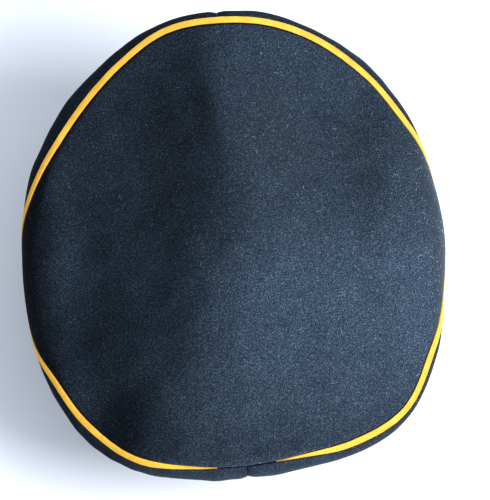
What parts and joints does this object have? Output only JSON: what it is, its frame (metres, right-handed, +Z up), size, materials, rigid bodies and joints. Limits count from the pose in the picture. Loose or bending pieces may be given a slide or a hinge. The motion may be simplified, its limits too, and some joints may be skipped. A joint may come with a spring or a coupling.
{
  "type": "kepi cap",
  "caption": "Peaked cloth cap with a wide saddle-shaped crown, a contrasting welt in the top seam, an upright band and a stiff black peak.",
  "frame": {"origin": "on the surface that the cap lies on, under the middle of its plan", "axes": "+X to the wearer's right, +Y to the front over the peak, +Z up from the surface; the cap leans back by 7.6 degrees, as it rests by itself"},
  "size_m": [0.2502, 0.2816, 0.1348],
  "materials": {
    "navy_wool": "matte milled wool",
    "yellow_cloth": "matte fine cloth",
    "black_peak": "polished"
  },
  "bodies": {
    "root": {"crown_top": "navy_wool", "welt": "yellow_cloth", "quarter_front_right": "navy_wool", "quarter_front_left": "navy_wool", "quarter_back_left": "navy_wool", "quarter_back_right": "navy_wool", "band": "navy_wool", "peak": "black_peak"}
  },
  "joints": []
}
